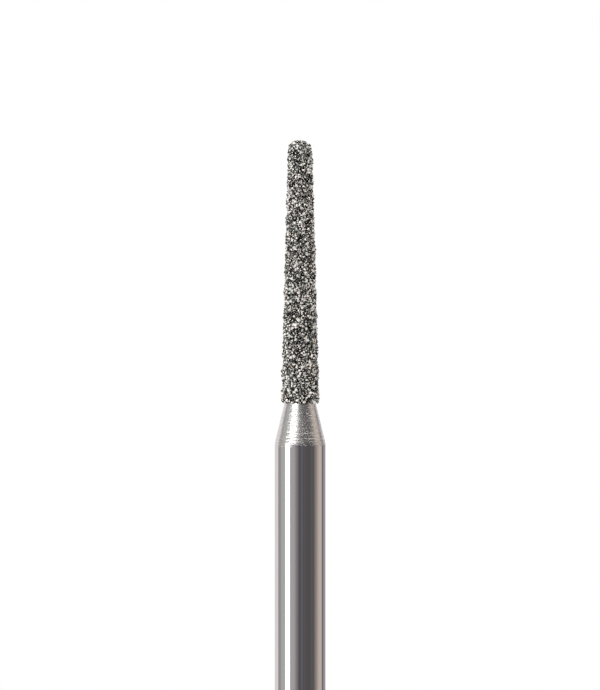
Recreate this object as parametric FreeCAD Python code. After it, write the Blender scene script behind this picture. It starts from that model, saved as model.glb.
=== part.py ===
"""Dental bur for a friction-grip handpiece: a turned steel blank and the diamond layer plated over its head.

Millimetres. The origin is the centre of the shank's end face, and +Z runs along the axis to the tip.
"""

import FreeCAD
import Part
import math
import os
import random

# Steel blank, turned and ground from one rod
shank_diameter = 1.60
shank_length = 11.43
end_chamfer = 0.15
shoulder_radius = 0.90
neck_length = 1.27
neck_top_diameter = 0.985
core_length = 8.20
core_tip_diameter = 0.55
tip_edge_radius = 0.10
tip_crown_radius = 0.48

# Diamond layer, one grain deep, held in plated nickel
bond_thickness = 0.065
grain_rise = 0.050
grain_pitch = 0.160
swell_depth = 0.010
swell_pitch = 0.45
lip_thickness = 0.045
grain_seed = 12

# A grain's corners are this much closer together than the grains are
CORNERS_PER_PITCH = math.sqrt(3)
CORNER_WANDER = 0.26
BOND_WANDER = 0.28
CLOSEST_GRAINS = 0.84
SMALLEST_RISE = 0.45
BLUNT_SHARE = 0.30
SWELL_RATIO = 1.6
BORE_SECTORS = 10
LEAST_CORNERS = 4

corner_pitch = grain_pitch / CORNERS_PER_PITCH
AXIS_START = FreeCAD.Vector(0, 0, 0)
AXIS = FreeCAD.Vector(0, 0, 1)
neck_base_z = shank_length
neck_top_z = shank_length + neck_length
core_top_z = neck_top_z + core_length


def at(radius, height):
    """A point of the half outline, which lies in the XZ plane."""
    return FreeCAD.Vector(radius, 0, height)


def line(start, end):
    return Part.LineSegment(start, end).toShape()


def arc(start, middle, end):
    return Part.Arc(start, middle, end).toShape()


def arc_about(centre, start, end):
    """The short arc from start to end about a centre."""
    towards = (start + end) * 0.5 - centre
    middle = centre + towards.normalize() * (start - centre).Length
    return arc(start, middle, end)


def core_outline():
    """Half outline of the blank's head, from the neck's top to the pole: straight flank, rounded edge, crowned end.

    The edge's centre lies one edge radius inside the flank, and inside the crown by the same radius.
    """
    base = at(neck_top_diameter / 2, neck_top_z)
    corner = at(core_tip_diameter / 2, core_top_z)
    along = (corner - base).normalize()
    outward = FreeCAD.Vector(along.z, 0, -along.x)
    crown_centre = at(0, core_top_z - tip_crown_radius)
    inner = base - outward * tip_edge_radius
    offset = inner - crown_centre
    reach = offset.dot(along)
    gap = (tip_crown_radius - tip_edge_radius) ** 2 - offset.dot(offset) + reach ** 2
    edge_centre = inner + along * (math.sqrt(gap) - reach)
    flank_end = edge_centre + outward * tip_edge_radius
    crown_end = crown_centre + (edge_centre - crown_centre).normalize() * tip_crown_radius
    pole = at(0, core_top_z)
    return [
        line(base, flank_end),
        arc_about(edge_centre, flank_end, crown_end),
        arc_about(crown_centre, crown_end, pole),
    ]


def shoulder_outline():
    """Half outline of the shank's side, the rounded shoulder and the conical neck."""
    radius = shank_diameter / 2
    corner = at(radius, neck_base_z)
    neck_top = at(neck_top_diameter / 2, neck_top_z)
    up_neck = (neck_top - corner).normalize()
    turn = math.acos(up_neck.z)
    reach = shoulder_radius * math.tan(turn / 2)
    below = corner - AXIS * reach
    above = corner + up_neck * reach
    centre = below - FreeCAD.Vector(shoulder_radius, 0, 0)
    return [
        line(at(radius, end_chamfer), below),
        arc_about(centre, below, above),
        line(above, neck_top),
    ]


def turned(edges, turn=360):
    """The solid that a closed half outline sweeps about the axis."""
    return Part.Face(Part.Wire(edges)).revolve(AXIS_START, AXIS, turn)


def steel_blank():
    radius = shank_diameter / 2
    end_edge = at(radius - end_chamfer, 0)
    foot = [
        line(at(0, 0), end_edge),
        line(end_edge, at(radius, end_chamfer)),
    ]
    axis_edge = [line(at(0, core_top_z), at(0, 0))]
    return turned(foot + shoulder_outline() + core_outline() + axis_edge)


def core_sectors():
    """The blank's head by itself, in equal sectors, with its flank carried on below the neck's top."""
    outline = core_outline()
    flank = outline[0]
    base = flank.valueAt(flank.FirstParameter)
    slope = flank.tangentAt(flank.FirstParameter)
    below = base - slope * grain_pitch
    foot = at(0, below.z)
    closing = [line(at(0, core_top_z), foot), line(foot, below), line(below, base)]
    step = 360 / BORE_SECTORS
    first = turned(outline + closing, step)
    return [first.rotated(AXIS_START, AXIS, step * sector) for sector in range(BORE_SECTORS)]


class Corner:
    """A corner of the grit: its turn about the axis, its place on the core's outline and the way out from there."""

    def __init__(self, turn, foot, outward):
        self.turn = turn % (2 * math.pi)
        self.foot = foot
        self.outward = outward
        self.is_point = False

    def raised(self, rise):
        """The corner in space, at a height over the core."""
        place = self.foot + self.outward * rise
        return FreeCAD.Vector(place.x * math.cos(self.turn), place.x * math.sin(self.turn), place.z)


def grit_rings(wander):
    """Rings of corners from the layer's lower lip to the pole, each ring begun at any turn and stepped unevenly.

    The lip's corners stand straight out from the neck's top, so the layer's foot is flat.
    """
    outline = Part.Wire(core_outline())
    row_pitch = corner_pitch * math.sin(math.pi / 3)
    row_count = round(outline.Length / row_pitch)
    stations = outline.discretize(Number=row_count + 1)
    rings = []
    for row in range(row_count):
        here = stations[row]
        along = (stations[row + 1] - stations[max(row - 1, 0)]).normalize()
        outward = FreeCAD.Vector(along.z, 0, -along.x) if row else FreeCAD.Vector(1, 0, 0)
        around = 2 * math.pi * (here.x + outward.x * bond_thickness)
        count = max(LEAST_CORNERS, round(around / corner_pitch))
        begin = wander.random()
        ring = []
        for corner in range(count):
            turn = (corner + begin + CORNER_WANDER * wander.uniform(-1, 1)) * 2 * math.pi / count
            shift = row_pitch * CORNER_WANDER * wander.uniform(-1, 1) if row else 0
            ring.append(Corner(turn, here + along * shift, outward))
        ring.sort(key=lambda corner: corner.turn)
        rings.append(ring)
    return rings


def choose_points(rings, wander):
    """Takes corners in any order as grains' points, unless an earlier one stands too close."""
    reach = CLOSEST_GRAINS * grain_pitch
    places = [(row, corner) for row in range(1, len(rings)) for corner in rings[row]]
    wander.shuffle(places)
    points = [[] for ring in rings]
    for row, corner in places:
        here = corner.raised(bond_thickness)
        near = [other for ring in points[max(row - 2, 0):row + 3] for other in ring]
        if all(here.distanceToPoint(other) > reach for other in near):
            points[row].append(here)
            corner.is_point = True


def swell(turn, height):
    """How much the layer thickens here, in slow waves along and around the head."""
    along = 2 * math.pi * height / swell_pitch
    return swell_depth * (math.sin(along + turn) + math.sin(SWELL_RATIO * along - 2 * turn)) / 2


def corner_rise(corner, wander):
    """Height over the core: the bond's own, more at a grain's point, and a little more where a grain is blunt."""
    rise = bond_thickness * (1 + BOND_WANDER * wander.uniform(-1, 1)) + swell(corner.turn, corner.foot.z)
    if corner.is_point:
        return rise + grain_rise * wander.uniform(SMALLEST_RISE, 1)
    if wander.random() < BLUNT_SHARE:
        return rise + grain_rise * wander.uniform(0, SMALLEST_RISE)
    return rise


def strip(lower, upper, lower_start, upper_start):
    """Triangles between two rings, always closing the shorter step next."""
    triangles = []
    low = 0
    high = 0
    while low < len(lower) or high < len(upper):
        next_low = turn_at(lower, low + 1)
        next_high = turn_at(upper, high + 1)
        a = lower_start + low % len(lower)
        b = upper_start + high % len(upper)
        if high == len(upper) or (low < len(lower) and next_low < next_high):
            low += 1
            triangles.append((a, lower_start + low % len(lower), b))
        else:
            high += 1
            triangles.append((a, upper_start + high % len(upper), b))
    return triangles


def turn_at(ring, place):
    """The turn of a ring's corner, counted on past a full turn."""
    return ring[place % len(ring)].turn + 2 * math.pi * (place // len(ring))


def grit_skin():
    """The closed skin of the grains: strips between rings, a fan at the tip and a flat foot."""
    wander = random.Random(grain_seed)
    rings = grit_rings(wander)
    choose_points(rings, wander)
    points = []
    starts = []
    for ring in rings:
        starts.append(len(points))
        is_lip = ring is rings[0]
        points.extend(corner.raised(lip_thickness if is_lip else corner_rise(corner, wander)) for corner in ring)
    triangles = []
    for row in range(len(rings) - 1):
        triangles += strip(rings[row], rings[row + 1], starts[row], starts[row + 1])
    pole = len(points)
    points.append(AXIS * (core_top_z + bond_thickness + grain_rise))
    last = starts[-1]
    count = len(rings[-1])
    triangles += [(last + k, last + (k + 1) % count, pole) for k in range(count)]
    foot = len(points)
    points.append(AXIS * neck_top_z)
    foot_count = len(rings[0])
    triangles += [((k + 1) % foot_count, k, foot) for k in range(foot_count)]
    return points, triangles


def diamond_layer():
    skin = Part.Shape()
    skin.makeShapeFromMesh(grit_skin(), 1e-5)
    filled = Part.Solid(Part.Shell(skin.Faces)).removeSplitter()
    return filled.cut(core_sectors()).Solids[0]


def main():
    os.makedirs("parts", exist_ok=True)
    pieces = {"steel_blank": steel_blank(), "diamond_layer": diamond_layer()}
    for name, shape in pieces.items():
        print(name, shape.isValid(), shape.ShapeType, len(shape.Solids), len(shape.Faces), shape.Volume)
        shape.exportStep(f"parts/{name}.step")


main()
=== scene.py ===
"""The dental bur dressed for its photograph.

It is a ground steel blank, the nickel plated on its head and the diamond grains set in the nickel.
"""

import math

import bpy
import numpy as np
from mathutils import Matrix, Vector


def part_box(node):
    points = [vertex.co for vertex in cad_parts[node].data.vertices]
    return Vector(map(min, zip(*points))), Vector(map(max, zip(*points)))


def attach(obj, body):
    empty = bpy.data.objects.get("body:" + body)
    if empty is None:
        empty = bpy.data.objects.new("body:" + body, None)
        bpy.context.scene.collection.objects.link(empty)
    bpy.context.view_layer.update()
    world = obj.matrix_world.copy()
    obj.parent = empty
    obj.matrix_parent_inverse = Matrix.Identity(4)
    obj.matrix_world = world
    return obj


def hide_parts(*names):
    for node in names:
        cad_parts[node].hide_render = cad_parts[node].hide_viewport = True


MM = 0.001
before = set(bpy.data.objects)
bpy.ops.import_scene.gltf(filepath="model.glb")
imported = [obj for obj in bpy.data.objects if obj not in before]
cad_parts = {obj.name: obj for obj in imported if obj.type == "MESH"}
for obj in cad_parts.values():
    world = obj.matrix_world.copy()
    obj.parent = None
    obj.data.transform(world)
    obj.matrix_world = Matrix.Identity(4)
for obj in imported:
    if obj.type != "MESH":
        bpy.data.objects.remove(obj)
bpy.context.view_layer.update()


# Steel blank. One rod of hardened stainless steel: the shank is centreless ground and polished to the
# chuck's size, the neck is turned down to the head's core in a lathe, and the tool leaves fine marks, torn
# pits and a few rings round it.
shank_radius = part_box("steel_blank")[1][0] / MM
core_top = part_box("steel_blank")[1][2] / MM
head_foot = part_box("diamond_layer")[0][2] / MM
end_chamfer = 0.15
edge_break = 0.006
neck_top_radius = 0.4925
neck_length = 1.27
core_tip_radius = 0.275
core_edge_radius = 0.10
core_crown_radius = 0.48
shoulder_radius = 0.90
shoulder_foot = head_foot - neck_length
tool_ring_heights = (0.068, 0.176, 0.334)
tool_ring_depth = 0.0038
tool_ring_width = 0.016
blank_segments = 256
shank_points = 12
shoulder_points = 41
cone_points = 220
core_points = 30
edge_points = 9
crown_points = 12
joint_search_points = 4001
satin_starts = shoulder_foot - 0.12
satin_full = shoulder_foot - 0.05
polished_roughness = 0.045
satin_roughness = 0.16
polished_tint = (0.63, 0.61, 0.62, 1)
satin_tint = (0.66, 0.64, 0.63, 1)
# painted shade: the pits' colour is darkened for the shade inside them
pit_shade_tint = (0.21, 0.20, 0.21, 1)
streaks_per_metre = 3200
rings_per_metre = 30000
long_streaks_per_metre = 700
long_rings_per_metre = 24000
mark_detail = 3.0
mark_roughness = 0.6
mark_depth = 0.0102
long_share = 0.55
pits_per_metre = 24000
pit_floor = 0.12
pit_rim = 0.34
pitted_share = 0.70
pit_share = 1.2


def arc_points(centre, radius, start, end, count):
    """Points of an arc: centre plus radius times the cosine and sine of angles stepped from start to end."""
    angle = np.linspace(start, end, count)
    return np.column_stack([centre[0] + radius * np.cos(angle), centre[1] + radius * np.sin(angle)])


def straight_points(start, end, count):
    """Points of a straight stretch, both ends left out, as shares of the way from start to end."""
    share = np.linspace(0, 1, count + 2)[1:-1, None]
    return np.asarray(start) * (1 - share) + np.asarray(end) * share


def eased(before, corner, after):
    """A corner with its edge taken off: points one and two edge breaks away from it along each side."""
    sides = [np.subtract(end, corner) / np.hypot(*np.subtract(end, corner)) for end in (before, after)]
    ways = (sides[0], *sides, sides[1])
    return [corner + way * edge_break * steps for way, steps in zip(ways, (2, 1, 1, 2))]


def core_end():
    """The tip's rounded edge and shallow crown, as radius and height.

    The edge's centre lies one edge radius inside the flank and, by the same radius, inside the crown: it is
    where the line inside the flank comes nearest to the circle inside the crown.
    """
    heights = np.linspace(head_foot, core_top, joint_search_points)
    slope = math.atan2(neck_top_radius - core_tip_radius, core_top - head_foot)
    flank = np.interp(heights, (head_foot, core_top), (neck_top_radius, core_tip_radius))
    inner = flank - core_edge_radius / math.cos(slope)
    crown_centre = core_top - core_crown_radius
    misfit = np.abs(np.hypot(inner, heights - crown_centre) - core_crown_radius + core_edge_radius)
    nearest = np.argmin(np.where(heights > crown_centre, misfit, np.inf))
    joint = math.atan2(heights[nearest] - crown_centre, inner[nearest])
    edge = arc_points((inner[nearest], heights[nearest]), core_edge_radius, slope, joint, edge_points)
    crown = arc_points((0, crown_centre), core_crown_radius, joint, math.pi / 2, crown_points)
    return np.vstack([edge, crown[1:]])


def core_profile(count):
    """The blank's head from the neck's top to the pole: a flank of that many points, then its end."""
    end = core_end()
    foot = (neck_top_radius, head_foot)
    return np.vstack([[foot], straight_points(foot, end[0], count), end])


def blank_profile():
    """Half outline from the rim of the shank's end to the tip's pole: chamfer, shank, shoulder, neck, core.

    A tool ring takes depth times exp(-(distance / width) squared) off the radius.
    """
    lean = math.atan2(shank_radius - neck_top_radius, neck_length)
    reach = shoulder_radius * math.tan(lean / 2)
    end_edge, shank_edge = (shank_radius - end_chamfer, 0), (shank_radius, end_chamfer)
    centre = (shank_radius - shoulder_radius, shoulder_foot - reach)
    shoulder = arc_points(centre, shoulder_radius, 0, lean, shoulder_points)
    rim = eased((0, 0), end_edge, shank_edge) + eased(end_edge, shank_edge, shoulder[0])
    shank = straight_points(rim[-1], shoulder[0], shank_points)
    cone = straight_points(shoulder[-1], (neck_top_radius, head_foot), cone_points)
    neck = np.vstack([shoulder, cone])
    for ring in tool_ring_heights:
        distance = neck[:, 1] - shoulder_foot - ring
        neck[:, 0] -= tool_ring_depth * np.exp(-(distance / tool_ring_width) ** 2)
    return np.vstack([rim, shank, neck, core_profile(core_points)])


def revolve(name, radius, height, foot, top):
    """A closed skin round the axis: x = radius cos turn, y = radius sin turn, z = height, a fan at each pole.

    Radius and height have a row for each ring, from the foot upwards, and a column for each step of the turn.
    """
    rows, steps = radius.shape
    turn = np.arange(steps) * 2 * np.pi / steps
    rings = np.stack([radius * np.cos(turn), radius * np.sin(turn), height], axis=2).reshape(-1, 3)
    points = np.vstack([rings, [(0, 0, foot), (0, 0, top)]]) * MM
    here = np.arange(steps)
    beside = (here + 1) % steps
    start = steps * np.arange(rows - 1)[:, None]
    above = start + steps
    last = steps * (rows - 1)
    quads = np.stack([start + here, start + beside, above + beside, above + here], axis=2).reshape(-1, 4)
    foot_fan = np.column_stack([beside, here, np.full(steps, rows * steps)])
    top_fan = np.column_stack([last + here, last + beside, np.full(steps, rows * steps + 1)])
    mesh = bpy.data.meshes.new(name)
    mesh.from_pydata(points.tolist(), [], quads.tolist() + foot_fan.tolist() + top_fan.tolist())
    mesh.polygons.foreach_set("use_smooth", [True] * len(mesh.polygons))
    return mesh


def node(tree, kind, feeds=None, **settings):
    """A node of the tree with its settings. Feeds has an input's plain value, or the output linked to it."""
    made = tree.nodes.new(kind)
    for setting, value in settings.items():
        setattr(made, setting, value)
    for socket, source in (feeds or {}).items():
        if isinstance(source, bpy.types.NodeSocket):
            tree.links.new(source, made.inputs[socket])
        else:
            made.inputs[socket].default_value = source
    return made


def new_material(name, **plain):
    """A material with its node tree and its shader, whose plain values are set by name."""
    material = bpy.data.materials.new(name)
    material.use_nodes = True
    shader = material.node_tree.nodes["Principled BSDF"]
    for socket, value in plain.items():
        shader.inputs[socket.replace("_", " ")].default_value = value
    return material, material.node_tree, shader


def new_group(name, inputs, output):
    """A shader node group with its inputs, one output, and its input and output nodes."""
    group = bpy.data.node_groups.new(name, "ShaderNodeTree")
    for socket, kind in inputs.items():
        group.interface.new_socket(socket, in_out="INPUT", socket_type=kind)
    group.interface.new_socket(output, in_out="OUTPUT", socket_type="NodeSocketFloat")
    return group, group.nodes.new("NodeGroupInput"), group.nodes.new("NodeGroupOutput")


def lathe_marks_group():
    """Marks that a tool leaves round a turned part: noise drawn out into streaks round the axis.

    The height is the noise at (x streaks, y streaks, z rings), so a mark's length is the two scales' ratio.
    """
    inputs = {"Position": "NodeSocketVector", "Streaks": "NodeSocketFloat", "Rings": "NodeSocketFloat"}
    group, given, made = new_group("Lathe marks", inputs, "Height")
    streaks, rings = given.outputs["Streaks"], given.outputs["Rings"]
    scales = node(group, "ShaderNodeCombineXYZ", {"X": streaks, "Y": streaks, "Z": rings})
    stretched = node(
        group, "ShaderNodeVectorMath",
        {0: given.outputs["Position"], 1: scales.outputs[0]},
        operation="MULTIPLY",
    )
    marks = node(
        group, "ShaderNodeTexNoise",
        {"Vector": stretched.outputs[0], "Scale": 1.0, "Detail": mark_detail, "Roughness": mark_roughness},
    )
    group.links.new(marks.outputs["Fac"], made.inputs["Height"])
    return group


def pits_group():
    """Small pits torn by the tool: 1 near a cell's centre, falling to 0 round it, in a share of the cells."""
    inputs = {"Position": "NodeSocketVector", "Pits": "NodeSocketFloat", "Share": "NodeSocketFloat"}
    group, given, made = new_group("Torn pits", inputs, "Pit")
    position, pits, share = (given.outputs[name] for name in inputs)
    cells = node(group, "ShaderNodeTexVoronoi", {"Vector": position, "Scale": pits})
    distance = cells.outputs["Distance"]
    bowl = node(
        group, "ShaderNodeMapRange",
        {"Value": distance, "From Min": pit_floor, "From Max": pit_rim, "To Min": 1.0, "To Max": 0.0},
    )
    chance = node(group, "ShaderNodeSeparateColor", {0: cells.outputs["Color"]})
    chosen = node(group, "ShaderNodeMath", {0: chance.outputs[0], 1: share}, operation="LESS_THAN")
    chosen_bowls = {0: bowl.outputs["Result"], 1: chosen.outputs[0]}
    pit = node(group, "ShaderNodeMath", chosen_bowls, operation="MULTIPLY")
    group.links.new(pit.outputs[0], made.inputs["Pit"])
    return group


def ground_steel():
    """Polished shank and, above the shoulder, a satin neck with marks and pits, told apart by height.

    The pits' shade is painted dark into the steel's colour.
    """
    material, tree, steel = new_material("ground steel", Metallic=1.0)
    place = node(tree, "ShaderNodeTexCoord").outputs["Object"]
    height = node(tree, "ShaderNodeSeparateXYZ", {0: place}).outputs["Z"]
    satin_rise = {"Value": height, "From Min": satin_starts * MM, "From Max": satin_full * MM}
    satin = node(tree, "ShaderNodeMapRange", satin_rise).outputs["Result"]
    marks_group = lathe_marks_group()
    short_feeds = {"Position": place, "Streaks": streaks_per_metre, "Rings": rings_per_metre}
    long_feeds = {"Position": place, "Streaks": long_streaks_per_metre, "Rings": long_rings_per_metre}
    pit_feeds = {"Position": place, "Pits": pits_per_metre, "Share": pitted_share}
    short_marks = node(tree, "ShaderNodeGroup", short_feeds, node_tree=marks_group).outputs["Height"]
    long_marks = node(tree, "ShaderNodeGroup", long_feeds, node_tree=marks_group).outputs["Height"]
    pits = node(tree, "ShaderNodeGroup", pit_feeds, node_tree=pits_group()).outputs["Pit"]
    both_marks = {0: long_marks, 1: long_share, 2: short_marks}
    marks = node(tree, "ShaderNodeMath", both_marks, operation="MULTIPLY_ADD").outputs[0]
    pit = node(tree, "ShaderNodeMath", {0: pits, 1: satin}, operation="MULTIPLY").outputs[0]
    streak = node(tree, "ShaderNodeMath", {0: marks, 1: satin}, operation="MULTIPLY").outputs[0]
    relief = node(tree, "ShaderNodeMath", {0: pit, 1: -pit_share, 2: streak}, operation="MULTIPLY_ADD")
    bump = node(tree, "ShaderNodeBump", {"Height": relief.outputs[0], "Distance": mark_depth * MM})
    polish = {"Value": satin, "To Min": polished_roughness, "To Max": satin_roughness}
    roughness = node(tree, "ShaderNodeMapRange", polish)
    tints = {"Factor": satin, "A": polished_tint, "B": satin_tint}
    tint = node(tree, "ShaderNodeMix", tints, data_type="RGBA").outputs["Result"]
    # painted shade: the pits darken the steel's colour
    pit_shaded = node(tree, "ShaderNodeMix", {"Factor": pit, "A": tint, "B": pit_shade_tint}, data_type="RGBA")
    tree.links.new(bump.outputs["Normal"], steel.inputs["Normal"])
    tree.links.new(roughness.outputs["Result"], steel.inputs["Roughness"])
    tree.links.new(pit_shaded.outputs["Result"], steel.inputs["Base Color"])
    return material


def dress(name, mesh, material, stands_for):
    """Puts the mesh in the scene as a piece that stands for a solid of the frame."""
    piece = bpy.data.objects.new(name, mesh)
    bpy.context.collection.objects.link(piece)
    mesh.materials.append(material)
    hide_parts(stands_for)
    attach(piece, "root")


outline = blank_profile()
blank = revolve(
    "turned_blank",
    np.repeat(outline[:-1, :1], blank_segments, axis=1),
    np.repeat(outline[:-1, 1:], blank_segments, axis=1),
    0, core_top,
)
dress("turned_blank", blank, ground_steel(), "steel_blank")


# Nickel plating. The head is plated in a bath with diamond grains lying against it, and the nickel grows up
# round them until it grips them. It is matt and knobbly, its colour painted near black as the grains'
# shade, and it follows the slow swells of the layer.
layer_height = 0.119
foot_fullness = 0.004
foot_reach = 0.14
foot_sink = 0.034
swell_height = 0.018
swell_waves = 12
swell_lengths = (0.35, 0.9)
most_lobes = 5
latest_start = 7
tip_reach = 0.50
tip_droop = 0.016
tip_lean = 0.018
tip_sink = 0.014
head_stations = 900
flank_points = 60
plating_below = 0.088
plating_least = 0.012
plating_curl = 0.08
plating_knob = 0.008
knob_waves = 24
knob_lengths = (0.08, 0.4)
plating_segments = 160
plating_rows = 360
# painted shade: the nickel's colour is near black for the shade between the grains
nickel_shade_tint = (0.022, 0.021, 0.020, 1)
nickel_roughness = 0.35
knobs_per_metre = 30000
knob_detail = 3.0
knob_depth = 0.006
layer_seed = 41
shuffle = np.random.default_rng(layer_seed)


def outline_stations(count):
    """Points stepped evenly along the core's outline: the way along it, the place and the outward way there.

    The outward way is the tangent turned a quarter turn.
    """
    profile = core_profile(flank_points)
    length = np.concatenate([[0], np.cumsum(np.hypot(*np.diff(profile, axis=0).T))])
    along = np.linspace(0, length[-1], count)
    points = np.column_stack([np.interp(along, length, profile[:, axis]) for axis in (0, 1)])
    tangent = np.gradient(points, axis=0)
    tangent /= np.linalg.norm(tangent, axis=1, keepdims=True)
    return along, points, np.column_stack([tangent[:, 1], -tangent[:, 0]])


def slow_waves(count, lengths):
    """Sine waves that close round the axis, each with its own lobes, length along the outline and start."""
    lobes = shuffle.integers(-most_lobes, most_lobes + 1, count)
    length = shuffle.uniform(*lengths, count)
    start = shuffle.uniform(0, latest_start, count)
    return lobes, length, start


def unevenness(waves, turn, along):
    """The waves' sum over the root of their number, each sin(lobes turn + 2 pi along / length + start)."""
    total = np.zeros(np.broadcast(turn, along).shape)
    for lobes, length, start in zip(*waves):
        total += np.sin(lobes * turn + 2 * np.pi * along / length + start)
    return total / math.sqrt(len(waves[0]))


def layer_top(turn, along):
    """Height of the grains' tops over the core, fuller at the foot, with slow swells.

    The first grains at the foot lie lower. With share running from 0 to 1 over the last stretch to the pole,
    the tip loses (droop + lean cos turn) sin(pi share) + sink share: its edge is fuller on one side.
    """
    share = np.clip((along - head_along[-1] + tip_reach) / tip_reach, 0, 1)
    loss = (tip_droop + tip_lean * np.cos(turn)) * np.sin(np.pi * share) + tip_sink * share
    loss = loss + foot_sink * np.clip(1 - along / foot_reach, 0, 1)
    swell = foot_fullness * (1 - along / head_along[-1]) + swell_height * unevenness(swells, turn, along)
    return layer_height + swell - loss


def plating_skin():
    """The core's outline carried outwards to below the grains' tops, with knobs.

    At the foot the rise is multiplied by sqrt(1 - (1 - share) squared), which curls it in to the neck.
    """
    along, points, outward = outline_stations(plating_rows)
    along = along[:, None]
    turn = np.arange(plating_segments) * 2 * np.pi / plating_segments
    knobs = plating_knob * unevenness(slow_waves(knob_waves, knob_lengths), turn, along)
    rise = np.maximum(layer_top(turn, along) - plating_below + knobs, plating_least)
    rise *= np.sqrt(1 - (1 - np.clip(along / plating_curl, 0, 1)) ** 2)
    radius = points[:, :1] + outward[:, :1] * rise
    height = points[:, 1:] + outward[:, 1:] * rise
    return revolve("nickel_plating", radius[:-1], height[:-1], head_foot, height[-2].mean())


def nickel():
    """Matt plated nickel with fine knobs, its colour painted near black as the shade of the grains."""
    material, tree, metal = new_material(
        "plated nickel", Metallic=1.0, Roughness=nickel_roughness, Base_Color=nickel_shade_tint
    )
    place = node(tree, "ShaderNodeTexCoord").outputs["Object"]
    knob_feeds = {"Vector": place, "Scale": knobs_per_metre, "Detail": knob_detail}
    knobs = node(tree, "ShaderNodeTexNoise", knob_feeds)
    bump = node(tree, "ShaderNodeBump", {"Height": knobs.outputs["Fac"], "Distance": knob_depth * MM})
    tree.links.new(bump.outputs["Normal"], metal.inputs["Normal"])
    return material


head_along, head_points, head_outward = outline_stations(head_stations)
swells = slow_waves(swell_waves, swell_lengths)
dress("nickel_plating", plating_skin(), nickel(), "diamond_layer")


# Diamond grains. Blocky cubo-octahedral crystals of one sieve size, in a single layer, set at any angle with
# their upper halves bare, and smaller chips of the same diamond between them. The nickel holds both.
grain_size = 0.130
grain_size_range = (0.74, 1.30)
grain_spacing = 0.077
grain_sunk = 0.44
grain_wander = 0.003
chip_size = 0.078
chip_size_range = (0.7, 1.2)
chip_spacing = 0.053
chip_rise_range = (-0.005, 0.030)
foot_margin = 0.032
most_tries = 34000
cut_range = (0.16, 0.46)
middle_cut = 0.33
stretch_range = (0.85, 1.15)
most_skew = 0.22
crystal_corners = 24
cube_faces = 6
plane_tolerance = 1e-6
# painted glints and shade: these shares set how bright each facet is painted, from black shade to white glint
crystal_glint_shade_share = 0.12
cube_glint_shade_share = 0.30
facet_glint_shade_share = 0.58
diamond_roughness = 0.04
diamond_index = 1.55
# painted glints and shade: black facets stand for shade seen through the grain, white ones for glints
glint_shade_steps = (
    (0.335, (0.004, 0.004, 0.0035, 1)),
    (0.445, (0.09, 0.089, 0.084, 1)),
    (0.50, (0.60, 0.595, 0.57, 1)),
    (0.57, (1.0, 0.99, 0.95, 1)),
)
hue_steps = (
    (0.0, (0.93, 1.0, 0.95, 1)),
    (0.25, (1.0, 0.985, 0.95, 1)),
    (0.80, (1.0, 0.965, 0.92, 1)),
    (0.99, (1.0, 0.945, 0.93, 1)),
    (0.998, (1.0, 0.86, 0.58, 1)),
)


def skin_point(along, turn, rise):
    """The point over the core at a way along its outline, a turn about the axis and a rise outwards."""
    curves = (*head_points.T, *head_outward.T)
    radius, height, out, up = (np.interp(along, head_along, values) for values in curves)
    radius = radius + out * rise
    return np.column_stack([radius * np.cos(turn), radius * np.sin(turn), height + up * rise])


def scatter(spacing, taken):
    """Random places over the head, as likely as its area. Each is kept if no earlier one is too near it."""
    girth = (head_points[:, 0] + layer_height * head_outward[:, 0]) * (head_along > foot_margin)
    area = np.cumsum(girth)
    along = np.interp(shuffle.uniform(0, area[-1], most_tries), area, head_along)
    turn = shuffle.uniform(0, 2 * np.pi, most_tries)
    surface = skin_point(along, turn, layer_height - plating_below)
    room = np.vstack([taken, surface])
    filled = len(taken)
    chosen = []
    for index, point in enumerate(surface):
        if np.all(np.sum((room[:filled] - point) ** 2, axis=1) >= spacing ** 2):
            chosen.append(index)
            room[filled] = point
            filled += 1
    return along[chosen], turn[chosen], room[:filled]


def cut_octahedra(cut):
    """Corners of octahedra with their points cut off: every (1 - cut, cut, 0), in any order, with any signs.

    Cut has a value for each crystal, and the result a row of 24 corners for each.
    """
    corners = []
    for long_axis, short_axis in ((0, 1), (0, 2), (1, 0), (1, 2), (2, 0), (2, 1)):
        for long_sign, short_sign in ((1, 1), (1, -1), (-1, 1), (-1, -1)):
            corner = np.zeros((len(cut), 3))
            corner[:, long_axis] = long_sign * (1 - cut)
            corner[:, short_axis] = short_sign * cut
            corners.append(corner)
    return np.stack(corners, axis=1)


def crystal_faces():
    """Faces of the cut octahedron: the corners on each of its 14 planes, in order round the plane's way.

    The six cube faces come first.
    """
    corners = cut_octahedra(np.array([middle_cut]))[0]
    squares = [axis * sign for axis in np.eye(3) for sign in (1, -1)]
    hexagons = [np.array((a, b, c)) / math.sqrt(3) for a in (1, -1) for b in (1, -1) for c in (1, -1)]
    faces = []
    for way in squares + hexagons:
        reach = corners @ way
        on_plane = np.flatnonzero(reach > reach.max() - plane_tolerance)
        across = np.cross(way, corners[on_plane[0]])
        first = np.cross(across, way)
        angle = np.arctan2(corners[on_plane] @ across, corners[on_plane] @ first)
        faces.append(on_plane[np.argsort(angle)])
    return faces


def any_rotation(count):
    """Random turns in space, one 3 by 3 matrix for each, from unit quaternions."""
    spin = shuffle.normal(size=(count, 4))
    w, x, y, z = (spin / np.linalg.norm(spin, axis=1, keepdims=True)).T
    rows = [
        [1 - 2 * (y * y + z * z), 2 * (x * y - z * w), 2 * (x * z + y * w)],
        [2 * (x * y + z * w), 1 - 2 * (x * x + z * z), 2 * (y * z - x * w)],
        [2 * (x * z - y * w), 2 * (y * z + x * w), 1 - 2 * (x * x + y * y)],
    ]
    return np.moveaxis(np.array(rows), 2, 0)


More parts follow.
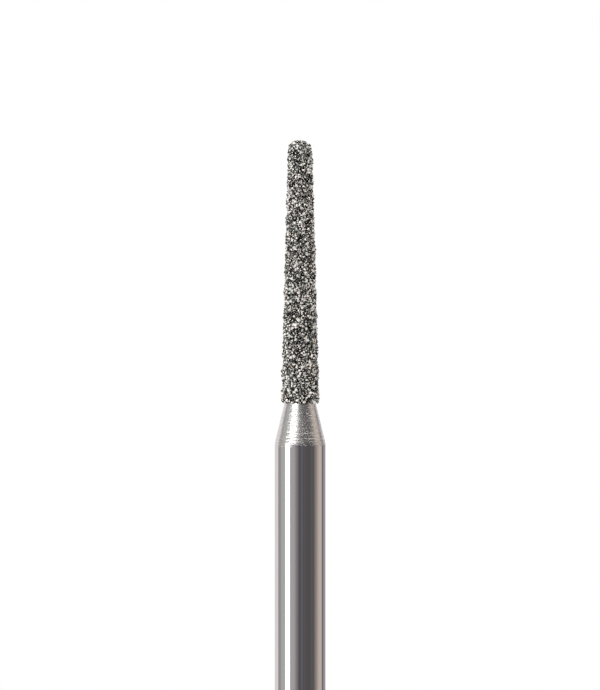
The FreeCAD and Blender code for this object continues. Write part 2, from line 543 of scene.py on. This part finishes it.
def crystals(name, centres, sizes):
    """Cut octahedra at the centres, each stretched, skewed by dividing by a plane's distance, and turned.

    Both changes keep flat faces flat. A facet's painted glint and shade, dark to bright, is the weighted sum
    of its crystal's, 1 for a cube face, and its own share of an even spread over the crystal. Each crystal
    has one hue.
    """
    count = len(centres)
    shape = cut_octahedra(shuffle.uniform(*cut_range, count))
    shape = shape * shuffle.uniform(*stretch_range, (count, 1, 3))
    skew = shuffle.uniform(-most_skew, most_skew, (count, 1, 3))
    shape = shape / (1 + np.sum(shape * skew, axis=2, keepdims=True))
    shape = shape - shape.mean(axis=1, keepdims=True)
    reach = np.linalg.norm(shape, axis=2).max(axis=1)
    shape = shape * (sizes / 2 / reach)[:, None, None]
    shape = np.einsum("nij,nkj->nki", any_rotation(count), shape)
    points = (centres[:, None, :] + shape) * MM
    faces = crystal_faces()
    sides = np.tile([len(face) for face in faces], count)
    loops = np.concatenate(faces) + crystal_corners * np.arange(count)[:, None]
    mesh = bpy.data.meshes.new(name)
    mesh.vertices.add(crystal_corners * count)
    mesh.vertices.foreach_set("co", points.ravel())
    mesh.loops.add(loops.size)
    mesh.loops.foreach_set("vertex_index", loops.ravel())
    mesh.polygons.add(len(sides))
    mesh.polygons.foreach_set("loop_start", np.cumsum(sides) - sides)
    mesh.update()
    mesh.validate()
    cube_face = np.arange(len(faces)) < cube_faces
    # painted glints and shade: each facet gets its painted brightness here
    order = shuffle.permuted(np.tile(np.arange(len(faces)), (count, 1)), axis=1)
    own = (order + shuffle.uniform(0, 1, order.shape)) / len(faces)
    glint_shade = crystal_glint_shade_share * shuffle.uniform(0, 1, (count, 1))
    glint_shade = glint_shade + cube_glint_shade_share * cube_face + facet_glint_shade_share * own
    hue = np.repeat(shuffle.uniform(0, 1, count), len(faces))
    for attribute, values in (("facet_glint_shade", glint_shade.ravel()), ("grain_hue", hue)):
        mesh.attributes.new(attribute, "FLOAT", "FACE").data.foreach_set("value", values)
    return mesh


def colour_steps(tree, attribute, steps):
    """A colour ramp that reads one of the mesh's attributes."""
    value = node(tree, "ShaderNodeAttribute", attribute_name=attribute).outputs["Fac"]
    made = node(tree, "ShaderNodeValToRGB", {0: value})
    ramp = made.color_ramp.elements
    ramp[1].position, ramp[1].color = steps[-1]
    ramp[0].position, ramp[0].color = steps[0]
    for position, colour in steps[1:-1]:
        ramp.new(position).color = colour
    return made.outputs["Color"]


def diamond():
    """Grey crystal with hard glints: its facets are painted from black, painted shade where one sees through
    the grain, to white, painted glints.
    """
    material, tree, stone = new_material("diamond crystal", Roughness=diamond_roughness, IOR=diamond_index)
    glint_shade = colour_steps(tree, "facet_glint_shade", glint_shade_steps)
    hue = colour_steps(tree, "grain_hue", hue_steps)
    glint_shade_by_hue = {"Factor": 1.0, "A": glint_shade, "B": hue}
    tinted = node(tree, "ShaderNodeMix", glint_shade_by_hue, data_type="RGBA", blend_type="MULTIPLY")
    tree.links.new(tinted.outputs["Result"], stone.inputs["Base Color"])
    return material


grain_along, grain_turn, occupied = scatter(grain_spacing, np.empty((0, 3)))
grain_sizes = grain_size * shuffle.uniform(*grain_size_range, len(grain_along))
grain_rise = layer_top(grain_turn, grain_along) - grain_sunk * grain_sizes
grain_rise += shuffle.normal(0, grain_wander, len(grain_along))
chip_along, chip_turn, occupied = scatter(chip_spacing, occupied)
chip_sizes = chip_size * shuffle.uniform(*chip_size_range, len(chip_along))
chip_rise = layer_top(chip_turn, chip_along) - plating_below
chip_rise += shuffle.uniform(*chip_rise_range, len(chip_along))
stone = diamond()
grains = crystals("diamond_grains", skin_point(grain_along, grain_turn, grain_rise), grain_sizes)
chips = crystals("diamond_chips", skin_point(chip_along, chip_turn, chip_rise), chip_sizes)
dress("diamond_grains", grains, stone, "diamond_layer")
dress("diamond_chips", chips, stone, "diamond_layer")


# Table top. A round pale board just under the shank's end, white to the camera except where the bur's shadow
# falls. Steel mirrors the room in its place, and it is clear from below.
table_radius = 60
table_corners = 96
table_gap = 0.02
table_tint = (0.82, 0.82, 0.82, 1)
table_roughness = 0.9
table_glow = (1, 1, 1, 1)
table_lift = 0.45


def table_board():
    """A flat disc: x = radius cos turn, y = radius sin turn."""
    turn = np.arange(table_corners) * 2 * np.pi / table_corners
    height = np.full(table_corners, -table_gap)
    rim = np.column_stack([table_radius * np.cos(turn), table_radius * np.sin(turn), height])
    mesh = bpy.data.meshes.new("table_top")
    mesh.from_pydata((rim * MM).tolist(), [], [list(range(table_corners))])
    return mesh


def pale_board():
    """Matt pale paint with its own glow for the camera. Mirrored rays and rays from below pass through it."""
    material, tree, paint = new_material(
        "pale board", Base_Color=table_tint, Roughness=table_roughness, Emission_Color=table_glow
    )
    path = node(tree, "ShaderNodeLightPath")
    below = node(tree, "ShaderNodeNewGeometry").outputs["Backfacing"]
    seen, mirrored = path.outputs["Is Camera Ray"], path.outputs["Is Glossy Ray"]
    lift = node(tree, "ShaderNodeMath", {0: seen, 1: table_lift}, operation="MULTIPLY")
    gone = node(tree, "ShaderNodeMath", {0: mirrored, 1: below}, operation="MAXIMUM")
    clear = node(tree, "ShaderNodeBsdfTransparent")
    mixed = node(tree, "ShaderNodeMixShader", {0: gone.outputs[0], 1: paint.outputs[0], 2: clear.outputs[0]})
    tree.links.new(lift.outputs[0], paint.inputs["Emission Strength"])
    tree.links.new(mixed.outputs[0], tree.nodes["Material Output"].inputs["Surface"])
    return material


table = bpy.data.objects.new("table_top", table_board())
bpy.context.collection.objects.link(table)
table.data.materials.append(pale_board())


# Studio room. Soft panels round the object over a white backdrop: a grey tent, two paler sheets, a dark gap
# with faint streaks, warm, lilac and pale cards, a dark slot, a strip lamp, a ceiling, a halo and two round
# lamps. Angles are in degrees, from the camera towards its right.
backdrop_white = (1.0, 0.97, 0.98)
camera_white = (1, 1, 1)
tent_grey = (0.45, 0.42, 0.41)
green_sheet = (0.57, 0.61, 0.58)
grey_sheet = (0.56, 0.54, 0.54)
dark_gap = (0.125, 0.12, 0.125)
blue_streak = (0.162, 0.166, 0.188)
warm_streak = (0.147, 0.136, 0.138)
grey_streak = (0.152, 0.146, 0.143)
warm_card = (0.76, 0.66, 0.58)
warm_patch = (0.79, 0.71, 0.64)
lilac_card = (0.42, 0.40, 0.44)
pale_card = (0.84, 0.81, 0.83)
dark_slot = (0.20, 0.18, 0.19)
ceiling_glow = (1.55, 1.52, 1.48)
ceiling_power = 6.0
halo_grey = (0.55, 0.54, 0.55)
lamp_glow = (4.0, 3.95, 4.0)
card_top = 0.02
strip_top = 0.16
top_fade = 0.067
degrees_per_radian = 180 / math.pi


class Room:
    """The world as a room seen from the object. Each call covers a part of what is shown already."""

    def __init__(self, backdrop):
        world = bpy.data.worlds.new("studio room")
        bpy.context.scene.world = world
        world.use_nodes = True
        self.tree = world.node_tree
        self.shown = (*backdrop, 1)
        self.way = node(self.tree, "ShaderNodeTexCoord").outputs["Generated"]
        apart = node(self.tree, "ShaderNodeSeparateXYZ", {0: self.way}).outputs
        self.upward = apart["Z"]
        turn = self.result("ARCTAN2", apart["X"], self.result("MULTIPLY", apart["Y"], -1.0))
        self.azimuth = self.result("MULTIPLY", turn, degrees_per_radian)

    def result(self, operation, *values):
        """The result of a sum on numbers or outputs."""
        return node(self.tree, "ShaderNodeMath", dict(enumerate(values)), operation=operation).outputs[0]

    def within(self, value, limit, softness):
        """1 up to the limit, falling to 0 over the softness."""
        reach = {"From Min": limit, "From Max": limit + softness}
        fall = {"Value": value, **reach, "To Min": 1.0, "To Max": 0.0}
        return node(self.tree, "ShaderNodeMapRange", fall).outputs["Result"]

    def lay(self, share, colour):
        """Covers what is shown with a colour, as far as the share says."""
        feeds = {"Factor": share, "A": self.shown, "B": (*colour, 1)}
        self.shown = node(self.tree, "ShaderNodeMix", feeds, data_type="RGBA").outputs["Result"]

    def near(self, middle, half_width, softness):
        """1 round the middle, falling to 0 over the softness outside the half width."""
        away = self.result("ABSOLUTE", self.result("SUBTRACT", self.azimuth, middle))
        return self.within(away, half_width, softness)

    def upright_panel(self, middle, half_width, softness, colour):
        """A panel from floor to ceiling, by its middle and half width round the object."""
        self.lay(self.near(middle, half_width, softness), colour)

    def low_panel(self, middle, half_width, softness, top, colour):
        """A panel that ends at a top, given as the upward part of the way there, and fades out above it."""
        across = self.near(middle, half_width, softness)
        self.lay(self.result("MULTIPLY", across, self.within(self.upward, top, top_fade)), colour)

    def round_patch(self, azimuth, elevation, radius, softness, colour):
        """A round lamp face or soft patch in that direction."""
        turn, rise = math.radians(azimuth), math.radians(elevation)
        middle = (math.sin(turn) * math.cos(rise), -math.cos(turn) * math.cos(rise), math.sin(rise))
        cosine = node(self.tree, "ShaderNodeVectorMath", {0: self.way, 1: middle}, operation="DOT_PRODUCT")
        apart = self.result("ARCCOSINE", cosine.outputs["Value"])
        angle = self.result("MULTIPLY", apart, degrees_per_radian)
        self.lay(self.within(angle, radius, softness), colour)

    def ceiling(self, colour):
        """A soft ceiling: its share is a power of the way's upward part."""
        self.lay(self.result("POWER", self.result("MAXIMUM", self.upward, 0.0), ceiling_power), colour)

    def finish(self):
        """Shows the room to reflections and as light, and plain white to the camera."""
        self.lay(node(self.tree, "ShaderNodeLightPath").outputs["Is Camera Ray"], camera_white)
        self.tree.links.new(self.shown, self.tree.nodes["Background"].inputs["Color"])


room = Room(backdrop_white)
room.upright_panel(0, 118.7, 1.5, tent_grey)
room.upright_panel(-84.5, 12.7, 3, green_sheet)
room.upright_panel(-35, 13, 3, grey_sheet)
room.upright_panel(30, 34, 27, dark_gap)
room.low_panel(50, 30, 27, card_top, dark_gap)
room.upright_panel(7.5, 4, 2, blue_streak)
room.upright_panel(21, 3, 3, warm_streak)
room.upright_panel(55, 4, 3, grey_streak)
room.upright_panel(106, 7.5, 36, warm_card)
room.round_patch(90, 19.3, 3, 17, warm_patch)
room.upright_panel(127, 9, 3, lilac_card)
room.low_panel(143, 25, 3, card_top, lilac_card)
room.low_panel(-166, 16, 8, card_top, pale_card)
room.upright_panel(124, 4, 3, dark_slot)
room.low_panel(-59.7, 11, 1.0, strip_top, lamp_glow)
room.ceiling(ceiling_glow)
room.round_patch(-30, 33, 12, 30, halo_grey)
room.round_patch(-37.5, 33, 12, 8, lamp_glow)
room.round_patch(80, 68, 17, 6, lamp_glow)
room.finish()
bpy.context.scene.view_settings.view_transform = "Standard"


# Camera. Level with the bur and square to it, far enough away that its sides stay parallel. Its scale and
# place come from the shank's width, the tip and the axis in the photo.
picture_height = 690
picture_width = 600
pixels_per_mm = 31.7
tip_pixel_y = 139.8
axis_pixel_x = 300.15
tip_height = 21.0
camera_distance = 300
camera_height = tip_height - (picture_height / 2 - tip_pixel_y) / pixels_per_mm
camera_side = (picture_width / 2 - axis_pixel_x) / pixels_per_mm
nearest_metres = 0.01
farthest_metres = 10.0

lens = bpy.data.cameras.new("camera")
lens.lens = lens.sensor_width * camera_distance * pixels_per_mm / picture_height
lens.clip_start = nearest_metres
lens.clip_end = farthest_metres
camera = bpy.data.objects.new("camera", lens)
bpy.context.collection.objects.link(camera)
camera.location = (camera_side * MM, -camera_distance * MM, camera_height * MM)
camera.rotation_euler = (math.pi / 2, 0, 0)
bpy.context.scene.camera = camera
